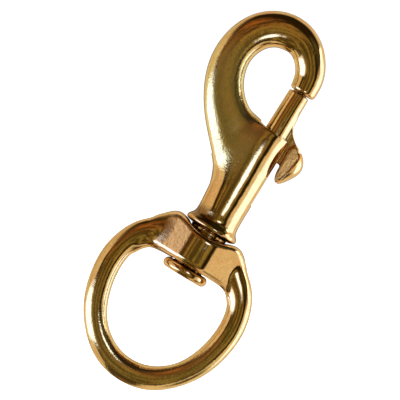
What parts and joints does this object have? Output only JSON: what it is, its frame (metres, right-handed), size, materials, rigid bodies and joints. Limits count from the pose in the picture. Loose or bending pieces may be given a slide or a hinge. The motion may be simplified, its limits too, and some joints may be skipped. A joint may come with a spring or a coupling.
{
  "type": "swivel eye bolt snap",
  "caption": "Cast brass snap hook with a round spring bolt worked by a thumb lever, on a swivelling round eye.",
  "frame": {"origin": "on the swivel axis, at the middle of the bearing facet inside the bottom of the eye", "axes": "+Z along the swivel axis from the eye to the hook, the part's longest direction; +X towards the thumb lever and the hook's opening, in the plane of the hook; -Y is the front"},
  "size_m": [0.0383, 0.0138, 0.0893],
  "materials": {
    "hook_brass": "polished casting with light handling scratches",
    "bolt_brass": "drawn and polished rod, rough-cast lever web",
    "spring_wire": "drawn stainless spring wire",
    "rivet_brass": "polished head",
    "eye_brass": "polished casting, head flanks less finely polished"
  },
  "bodies": {
    "hook": {"hook_body": "hook_brass", "swivel_rivet": "rivet_brass", "bolt_spring": "spring_wire"},
    "bolt": {"bolt": "bolt_brass"},
    "eye": {"swivel_eye": "eye_brass"}
  },
  "joints": [
    {"name": "bolt_slide", "type": "slide", "parent": "hook", "child": "bolt", "axis": [0, 0, -1], "range_m": [0, 0.0104], "stiffness_N_per_m": 400, "springref_m": -0.004, "deforming": ["bolt_spring"]},
    {"name": "swivel", "type": "hinge", "parent": "hook", "child": "eye", "pos_m": [0, 0, 0.0324], "axis": [0, 0, 1], "continuous": true}
  ]
}
